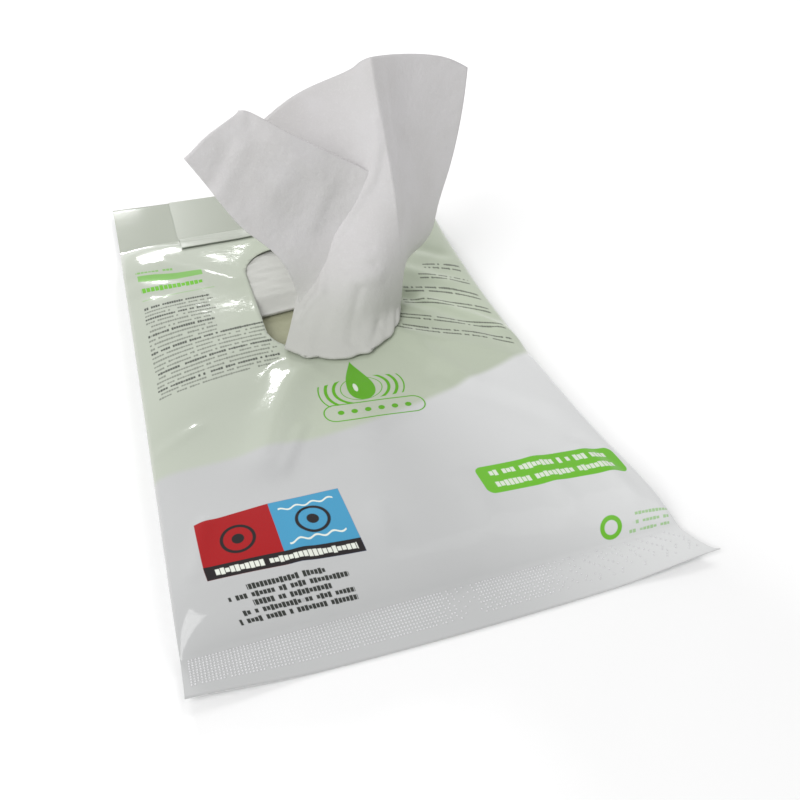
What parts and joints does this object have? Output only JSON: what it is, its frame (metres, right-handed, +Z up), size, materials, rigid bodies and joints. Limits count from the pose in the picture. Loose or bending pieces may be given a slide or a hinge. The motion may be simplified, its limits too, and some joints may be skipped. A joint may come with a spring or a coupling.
{
  "type": "pack of wet wash gloves",
  "caption": "Opened soft film pack of flat wet wash gloves: sealed ends, oval opening in the top with its label folded back, and one glove drawn up through it.",
  "frame": {"origin": "on the surface the pack lies on, under the middle of its overall length and width", "axes": "+Y along the pack from the crimped end to the plain header, +X to the right seen from the crimped end, +Z up"},
  "size_m": [0.178, 0.3054, 0.1157],
  "materials": {
    "printed_film": "glossy printed film",
    "wet_nonwoven": "soft damp needled nonwoven",
    "label_film": "satin label film, adhesive side up"
  },
  "bodies": {
    "root": {"film_pouch": "printed_film", "reseal_label": "label_film", "wash_glove_1": "wet_nonwoven", "wash_glove_2": "wet_nonwoven", "wash_glove_3": "wet_nonwoven", "wash_glove_4": "wet_nonwoven", "wash_glove_5": "wet_nonwoven", "wash_glove_6": "wet_nonwoven", "wash_glove_7": "wet_nonwoven", "wash_glove_drawn": "wet_nonwoven"}
  },
  "joints": []
}
